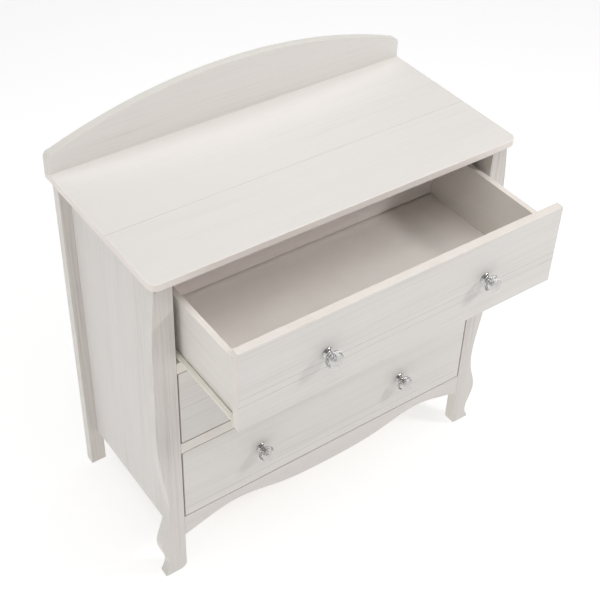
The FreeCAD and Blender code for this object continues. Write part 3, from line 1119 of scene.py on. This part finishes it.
@dataclass
class Apron(Board):
    """Apron with a wavy lower edge."""

    crest_x: float = 245.0 * MM
    crest_z: float = 131.0 * MM
    half_way: float = 0.3               # rise half way to the crest, as a share of the whole
    outer_x: float = 68.0 * MM          # outer point of the wave, past the crest
    outer_rise: float = 12.0 * MM
    steps: int = 10

    def outline(self) -> Blank:
        """Wave below a straight top edge.

        Returns:
            The blank.
        """
        low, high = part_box(self.node)
        rise = self.crest_z - low.z
        right = [(0.0, low.z), (self.crest_x / 2.0, low.z + self.half_way * rise),
                 (self.crest_x, self.crest_z),
                 (self.crest_x + self.outer_x, low.z + self.outer_rise), (high.x, low.z)]
        left = [(-x, z) for x, z in reversed(right[1:])]
        points = smooth_curve(left + right, self.steps) + [(high.x, high.z), (low.x, high.z)]
        return points, Axis.Y, low.y, high.y


@dataclass
class GroovedBoard(Board):
    """Board with a groove along it that holds the edge of a thin sheet."""

    sheet: str = ""
    run: Axis = Axis.Y

    def outline(self) -> Blank:
        """Section of the board with the groove in the side that meets the sheet.

        Returns:
            The blank.
        """
        low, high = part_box(self.node)
        slot_low, slot_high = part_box(self.sheet)
        across = next(a for a in Axis if a not in (self.run, self.wide))
        g0, g1 = slot_low[across.value], slot_high[across.value]
        w = self.wide.value
        if (low[w] + high[w]) > (slot_low[w] + slot_high[w]):
            near, far, depth = low[w], high[w], slot_high[w]
        else:
            near, far, depth = high[w], low[w], slot_low[w]
        a0, a1 = low[across.value], high[across.value]
        points = [(near, a0), (near, g0), (depth, g0), (depth, g1), (near, g1), (near, a1),
                  (far, a1), (far, a0)]
        if across.value < w:
            points = [(v, u) for u, v in points]
        return points, self.run, low[self.run.value], high[self.run.value]


@dataclass
class Case:
    """The fixed case of the chest."""

    palette: Palette
    body: str = "case"
    fold_width: float = 2.4 * MM
    fold_depth: float = 1.2 * MM

    def boards(self) -> list[Board]:
        """Every board of the case.

        Returns:
            The boards.
        """
        rear, under = (Axis.Y, 1), (Axis.Z, -1)
        leg_foil = self.palette.leg_foil
        boards: list[Board] = [
            TopBoard("top_board", Axis.Z, Axis.X, bare=(rear,), foil=self.palette.top_foil,
                     band="top_band"),
            Backsplash("backsplash", Axis.Y, Axis.X, bare=(under,), arris=1.2 * MM,
                       band="pale_band"),
            Board("top_rail", Axis.Y, Axis.X),
            Board("rail_upper", Axis.Z, Axis.X, bare=(rear,)),
            Board("rail_lower", Axis.Z, Axis.X, bare=(rear,)),
            Board("rear_rail", Axis.Y, Axis.X, bare=(under,)),
            Apron("apron", Axis.Y, Axis.X, arris=0.8 * MM, foil=self.palette.apron_foil,
                  band="pale_band"),
        ]
        for side in Side:
            boards += [
                FrontLeg(f"front_leg_{side.label}", Axis.Y, Axis.Z, arris=1.0 * MM,
                         foil=leg_foil, band="pale_band", side=side),
                Board(f"rear_leg_{side.label}", Axis.Y, Axis.Z, arris=0.8 * MM,
                      foil=leg_foil, band="pale_band"),
                GroovedBoard(f"side_panel_{side.label}", Axis.X, Axis.Z, bare=(under,),
                             sheet="back_panel", run=Axis.Z),
            ]
        return boards

    def back(self) -> Piece:
        """Thin back panel, folded along its middle to fit its carton.

        Returns:
            The panel.
        """
        low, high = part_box("back_panel")
        piece = Workpiece().saw(rectangle(low.x, high.x, low.z, high.z), Axis.Y, low.y, high.y)
        piece.score(Axis.Y, high.y, Axis.X, 0.0, self.fold_width, -self.fold_depth)
        piece.paint(lambda f: int(f.normal.y > FACING))
        obj = settle(as_object("back_panel_sheet", piece.bm, self.palette.sheet()))
        return fit(obj, self.body, "back_panel")

    def build(self) -> None:
        """Build the whole case."""
        for board in self.boards():
            board.build(self.palette, self.body)
            LOG.info("%s: %s", self.body, board.node)
        LOG.info("%s: %s", self.body, self.back().name)


# ---- drawers ----------------------------------------------------------------------------


# Heights of the seams on each front, as shares of the front's own height
FRONT_SEAMS = {Row.UPPER: (0.31, 0.40), Row.MIDDLE: (0.505,), Row.LOWER: (0.12,)}


@dataclass
class DrawerFront(PlankedBoard):
    """Inset front with a rounded face edge and plank seams."""

    round_over: float = 1.5 * MM
    seams: tuple[float, ...] = ()

    def levels(self) -> list[float]:
        """Heights of the seams."""
        low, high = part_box(self.node)
        return [low.z + share * (high.z - low.z) for share in self.seams]

    def work(self) -> Workpiece:
        """Saw the front, round its face edge and score its seams.

        Returns:
            The front.
        """
        low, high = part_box(self.node)
        middle = (low.y + high.y) / 2.0
        piece = Workpiece().saw(rectangle(low.x, high.x, low.z, high.z), Axis.Y, low.y, high.y)
        piece.ease(self.round_over, 3, lambda m: m.y < middle)
        piece.ease(self.arris, 2, lambda m: m.y > high.y - HAIR)
        for z in self.levels():
            piece.score(Axis.Y, low.y, Axis.Z, z, self.seam_width, self.seam_depth)
        return piece


@dataclass
class DrawerBack(Board):
    """Back of a drawer, held a little above the bottom."""

    lift: float = 3.2 * MM

    def outline(self) -> Blank:
        """Rectangle that starts above the drawer's bottom."""
        low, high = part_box(self.node)
        return rectangle(low.x, high.x, low.z + self.lift, high.z), Axis.Y, low.y, high.y


@dataclass
class Knob:
    """Cut crystal on a turned chrome base, held by a screw through the drawer front."""

    palette: Palette
    row: Row
    sides: int = 12
    # Rings of the crystal and profile of the base: radius and distance from the front; mm
    rings: tuple[Point2, ...] = (
        (7.0, 9.0), (13.4, 12.5), (17.2, 18.5), (15.6, 24.5), (11.3, 30.0), (6.5, 33.0))
    profile: tuple[Point2, ...] = (
        (2.2, 0.0), (11.0, 0.0), (11.0, 1.2), (10.4, 2.0), (9.0, 2.3), (8.2, 3.2), (6.6, 4.4),
        (6.0, 5.6), (6.0, 8.2), (5.4, 9.0), (2.2, 9.0))
    # Threaded stud inside the crystal: radius and distance from the front; mm
    stud: tuple[Point2, ...] = (
        (2.1, 9.2), (3.8, 9.2), (3.8, 10.4), (3.3, 10.8), (3.8, 11.2), (3.3, 11.6), (3.8, 12.0),
        (3.3, 12.4), (3.8, 12.8), (3.3, 13.2), (3.8, 13.6), (3.3, 14.0), (3.8, 14.4), (3.8, 18.4),
        (3.2, 19.2), (2.1, 19.2))
    cut: float = 0.35 * MM
    base_steps: int = 40
    stud_steps: int = 24

    def places(self) -> list[Vector]:
        """Points on the drawer's face at the axes of the two knobs.

        Returns:
            The two points.
        """
        low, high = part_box(f"{self.row.drawer}_knob_bases")
        radius = max(r for r, _ in self.profile) * MM
        z = (low.z + high.z) / 2.0
        return [Vector((low.x + radius, high.y, z)), Vector((high.x - radius, high.y, z))]

    def facets(self, bm: bmesh.types.BMesh, centre: Vector) -> None:
        """Add one crystal: triangles between rings that are turned half a step each.

        Args:
            bm: Mesh to add to.
            centre: Point of the knob's axis on the drawer's face.
        """
        loops = []
        for i, (radius, distance) in enumerate(self.rings):
            turn = math.pi / self.sides * (i % 2)
            loops.append([bm.verts.new(centre + Vector((
                radius * MM * math.cos(turn + 2.0 * math.pi * k / self.sides),
                -distance * MM,
                radius * MM * math.sin(turn + 2.0 * math.pi * k / self.sides))))
                for k in range(self.sides)])
        faces = [bm.faces.new(loops[0]), bm.faces.new(loops[-1])]
        for i, (a, b) in enumerate(zip(loops, loops[1:])):
            shift = i % 2
            for k in range(self.sides):
                n = (k + 1) % self.sides
                faces.append(bm.faces.new((a[k], a[n], b[(k + shift) % self.sides])))
                faces.append(bm.faces.new((b[k], b[n], a[(k + 1 - shift) % self.sides])))
        bmesh.ops.recalc_face_normals(bm, faces=faces)
        edges = {edge for face in faces for edge in face.edges}
        bmesh.ops.bevel(bm, geom=list(edges), offset=self.cut, segments=1, profile=0.5,
                        affect="EDGES", clamp_overlap=True)

    def build(self) -> None:
        """Build both knobs of the drawer."""
        body, made = self.row.drawer, self.palette.made
        crystal, base, stud = bmesh.new(), Workpiece(), Workpiece()
        for place in self.places():
            self.facets(crystal, place)
            for piece, profile, steps in ((base, self.profile, self.base_steps),
                                          (stud, self.stud, self.stud_steps)):
                piece.turn([(r * MM, -d * MM) for r, d in profile], Axis.Y, place, steps)
        crystals = as_object(f"{body}_cut_crystals", crystal, [made["crystal"]])
        fit(crystals, body, f"{body}_crystals")
        bases = as_object(f"{body}_knob_roses", base.bm, [made["chrome"]])
        fit(settle(bases), body, f"{body}_knob_bases")
        studs = as_object(f"{body}_knob_studs", stud.bm, [made["chrome"]])
        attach(settle(studs), body)
        LOG.info("%s: two knobs", body)


@dataclass
class Drawer:
    """One drawer: front, box, bottom and knobs."""

    palette: Palette
    row: Row

    def boards(self) -> list[Board]:
        """Front, back and sides of the drawer.

        Returns:
            The boards.
        """
        body = self.row.drawer
        boards: list[Board] = [
            DrawerFront(f"{body}_front", Axis.Y, Axis.X, seams=FRONT_SEAMS[self.row]),
            # The back takes the foil with painted warm bounce light in its colour
            DrawerBack(f"{body}_back", Axis.Y, Axis.X, foil=self.palette.bounce_lit_back_foil),
        ]
        for side in Side:
            boards.append(GroovedBoard(f"{body}_side_{side.label}", Axis.X, Axis.Y,
                                       foil=self.palette.box_foil, sheet=f"{body}_bottom",
                                       run=Axis.Y))
        return boards

    def bottom(self) -> Piece:
        """Thin bottom, white inside.

        Returns:
            The bottom.
        """
        node = f"{self.row.drawer}_bottom"
        low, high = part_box(node)
        sheet = Workpiece().saw(rectangle(low.x, high.x, low.y, high.y), Axis.Z, low.z, high.z)
        sheet.paint(lambda f: int(f.normal.z < -FACING))
        obj = as_object(f"{node}_sheet", sheet.bm, self.palette.sheet())
        return fit(settle(obj), self.row.drawer, node)

    def build(self) -> None:
        """Build the drawer on its body."""
        for board in self.boards():
            board.build(self.palette, self.row.drawer)
            LOG.info("%s: %s", self.row.drawer, board.node)
        LOG.info("%s: %s", self.row.drawer, self.bottom().name)
        Knob(self.palette, self.row).build()


# ---- fittings ---------------------------------------------------------------------------


@dataclass
class DrawerRunner:
    """Folded steel runner under one side of a drawer, with the pin of its rear roller."""

    palette: Palette
    row: Row
    side: Side
    steel: float = 1.2 * MM
    web: float = 0.9 * MM
    stand_off: float = 1.0 * MM
    bend: float = 0.8 * MM
    lip: float = 10.5 * MM
    drop: float = 3.0 * MM
    pin: float = 1.95 * MM
    pin_chamfer: float = 0.4 * MM
    pin_steps: int = 20

    def section(self, flange: float, rise: float) -> list[Point2]:
        """Section of the folded strip, outwards from the drawer side and up from its edge.

        Args:
            flange: Outer face of the turned-down edge.
            rise: Top of the flange.

        Returns:
            The outline.
        """
        t, b, near = self.steel, self.bend, self.stand_off
        far = near + self.web
        points = [(-self.lip, 0.0), (-self.lip, -t)]
        points += arc_points((far - b, b - t), b, 270.0, 360.0, 4)
        points += [(far, rise - t), (flange - t, rise - t), (flange - t, rise - self.drop),
                   (flange, rise - self.drop)]
        points += arc_points((flange - b, rise - b), b, 0.0, 90.0, 4)
        points += arc_points((near + 0.5 * b, rise - 0.5 * b), 0.5 * b, 90.0, 180.0, 3)
        return points + [(near, 0.0)]

    def build(self) -> None:
        """Fold the runner, set its pin and put it under its drawer."""
        body, sign = self.row.drawer, self.side.value
        node = f"{body}_runner_{self.side.label}"
        low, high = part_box(node)
        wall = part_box(f"{body}_side_right")[1].x
        outer = max(abs(low.x), abs(high.x))
        edge = low.z + self.steel
        points = [(sign * (wall + u), edge + v)
                  for u, v in self.section(outer - wall, high.z - edge)]
        piece = Workpiece().saw(points, Axis.Y, low.y, high.y)
        roller_low, roller_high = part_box(f"{body}_rollers")
        centre = (roller_low + roller_high) / 2.0
        start, end = wall + self.stand_off + self.web, roller_high.x
        cut = self.pin_chamfer
        pin = [(0.0, start), (self.pin, start), (self.pin, end - cut), (self.pin - cut, end),
               (0.0, end)]
        piece.turn([(r, sign * x) for r, x in pin], Axis.X,
                   Vector((0.0, centre.y, centre.z)), self.pin_steps)
        obj = as_object(f"{node}_folded", piece.bm, [self.palette.made["cream_epoxy"]])
        fit(settle(obj), body, node)


@dataclass
class RollerPair:
    """The two nylon rollers that share one CAD node."""

    palette: Palette
    node: str
    body: str
    bore: float = 2.0 * MM
    hub: float = 3.4 * MM
    width: float = 6.4 * MM
    rim: float = 0.8 * MM
    dish: float = 0.5 * MM
    steps: int = 36

    def build(self) -> None:
        """Turn both rollers, each with a hub and rounded rims."""
        low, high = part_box(self.node)
        r, w = (high.z - low.z) / 2.0, self.width
        rim, dish = self.rim, self.dish
        profile = [(self.bore, 0.0), (self.hub, 0.0), (self.hub + dish, dish),
                   (r - 2.0 * rim, dish), (r - rim, 0.0), (r, rim), (r, w - rim), (r - rim, w),
                   (r - 2.0 * rim, w - dish), (self.hub + dish, w - dish), (self.hub, w),
                   (self.bore, w)]
        piece = Workpiece()
        centre = (low + high) / 2.0
        for start in (low.x, high.x - w):
            piece.turn(profile, Axis.X, Vector((start, centre.y, centre.z)), self.steps)
        obj = as_object(f"{self.node}_turned", piece.bm, [self.palette.made["nylon"]])
        fit(settle(obj), self.body, self.node)


@dataclass
class Fittings:
    """Runners, rollers and fasteners."""

    palette: Palette

    def runners(self) -> None:
        """Fit every drawer's runners and rollers."""
        for row in Row:
            for side in Side:
                DrawerRunner(self.palette, row, side).build()
            for node, body in ((f"{row.drawer}_rollers", f"{row.drawer}_rollers"),
                               (f"cabinet_rollers_{row.value}", f"{row.value}_cabinet_rollers")):
                RollerPair(self.palette, node, body).build()
            LOG.info("%s: runners and rollers", row.drawer)

    def cad_nodes(self) -> None:
        """Give the CAD nodes that still show their finish."""
        finish = {"white_steel": "epoxy", "zinc_steel": "zinc"}
        for name, obj in frame["nodes"].items():
            if obj.hide_render:
                continue
            for slot in obj.material_slots:
                slot.material = self.palette.made[finish[slot_of(name)]]
            LOG.info("%s: dressed", name)

    def build(self) -> None:
        """Build the runners and dress the rest."""
        self.runners()
        self.cad_nodes()


# ---- studio -----------------------------------------------------------------------------


@dataclass(frozen=True)
class Softbox:
    """Square soft light that looks at the chest."""

    name: str
    towards: Triple             # direction from the chest to the light
    distance: float
    size: float
    power: float
    target: Triple = (0.0, 0.0, 0.45)

    def hang(self) -> None:
        """Hang the light."""
        lamp = bpy.data.lights.new(self.name, "AREA")
        lamp.shape = "SQUARE"
        lamp.size, lamp.energy = self.size, self.power
        obj = bpy.data.objects.new(self.name, lamp)
        towards = Vector(self.towards)
        obj.location = Vector(self.target) + towards.normalized() * self.distance
        obj.rotation_euler = (-towards).to_track_quat("-Z", "Y").to_euler()
        bpy.context.scene.collection.objects.link(obj)


@dataclass
class Studio:
    """Pale floor, soft lights and the camera."""

    floor_tone: Colour = (0.50, 0.50, 0.50)
    floor_shade: float = 0.985          # darkest clouds of the floor
    floor_clouds: float = 1.3           # in a metre
    floor_roughness: float = 0.9
    floor_gloss: float = 0.1
    floor_glow: float = 0.68
    floor_reach: float = 60.0
    floor_depth: float = 20.0 * MM
    # The walls are bright up to a little above the horizon and fade out over this slope
    wall_fade: Point2 = (0.02, 0.14)
    wall_strength: float = 1.0
    sky_strength: float = 0.22
    softboxes: tuple[Softbox, ...] = (
        Softbox("key_softbox", (0.62, -0.52, 0.58), 3.4, 0.5, 31.0),
        Softbox("overhead_softbox", (0.0, -0.04, 1.0), 2.6, 3.0, 52.5),
        Softbox("fill_softbox", (-0.95, -0.10, 0.35), 3.4, 2.4, 18.0),
    )
    # Where the camera stands, in metres, and how it is turned, in degrees
    camera_place: Triple = (-1.0593, -1.3818, 2.0254)
    turn: float = -36.40
    elevation: float = 39.82
    roll: float = 2.08
    lens: float = 71.12
    film: float = 36.0
    rise: float = -0.05

    def floor(self) -> None:
        """Lay the floor."""
        reach = self.floor_reach
        piece = Workpiece().saw(rectangle(-reach, reach, -reach, reach), Axis.Z,
                                -self.floor_depth, 0.0)
        n = Nodes("studio_floor")
        cloud = n.noise(n.place, scale=self.floor_clouds, detail=2.0)
        n.tint(n.span(cloud.outputs["Fac"], 0.3, 0.7), self.floor_tone,
               tuple(self.floor_shade * c for c in self.floor_tone))
        n.shader.inputs["Roughness"].default_value = self.floor_roughness
        n.shader.inputs["Specular IOR Level"].default_value = self.floor_gloss
        n.shader.inputs["Emission Color"].default_value = (*WHITE, 1.0)
        n.shader.inputs["Emission Strength"].default_value = self.floor_glow
        as_object("studio_floor", piece.bm, [n.material])

    def surroundings(self) -> None:
        """Set the pale walls and the dimmer sky."""
        world = bpy.data.worlds.new("studio")
        world.use_nodes = True
        tree = world.node_tree
        sky = tree.nodes["Background"]
        sky.inputs["Color"].default_value = (*WHITE, 1.0)
        height = tree.nodes.new("ShaderNodeSeparateXYZ")
        tree.links.new(tree.nodes.new("ShaderNodeTexCoord").outputs["Generated"],
                       height.inputs["Vector"])
        fade = tree.nodes.new("ShaderNodeMapRange")
        for key, value in zip(("From Min", "From Max", "To Min", "To Max"),
                              (*self.wall_fade, self.wall_strength, self.sky_strength)):
            fade.inputs[key].default_value = value
        tree.links.new(height.outputs["Z"], fade.inputs["Value"])
        tree.links.new(fade.outputs["Result"], sky.inputs["Strength"])
        bpy.context.scene.world = world
        bpy.context.scene.view_settings.view_transform = "Standard"

    def camera(self) -> None:
        """Stand the camera in front of the chest, to its left and above."""
        a, e, r = (math.radians(v) for v in (self.turn, self.elevation, self.roll))
        ahead = Vector((-math.sin(a) * math.cos(e), math.cos(a) * math.cos(e), -math.sin(e)))
        right = ahead.cross(Axis.Z.unit()).normalized()
        up = right.cross(ahead)
        right, up = (right * math.cos(r) + up * math.sin(r),
                     up * math.cos(r) - right * math.sin(r))
        lens = bpy.data.cameras.new("camera")
        lens.lens, lens.sensor_width, lens.shift_y = self.lens, self.film, self.rise
        obj = bpy.data.objects.new("camera", lens)
        obj.matrix_world = Matrix.Translation(self.camera_place) @ Matrix(
            (right, up, -ahead)).transposed().to_4x4()
        bpy.context.scene.collection.objects.link(obj)
        bpy.context.scene.camera = obj

    def build(self) -> None:
        """Set up the whole studio."""
        self.floor()
        self.surroundings()
        for softbox in self.softboxes:
            softbox.hang()
        self.camera()
        LOG.info("studio: floor, %d softboxes and camera", len(self.softboxes))


def main() -> None:
    """Build the chest and the studio."""
    logging.basicConfig(level=logging.INFO, format="%(name)s: %(message)s")
    Studio().build()
    palette = Palette()
    palette.stock()
    Case(palette).build()
    for row in Row:
        Drawer(palette, row).build()
    Fittings(palette).build()


if __name__ == "__main__":
    main()
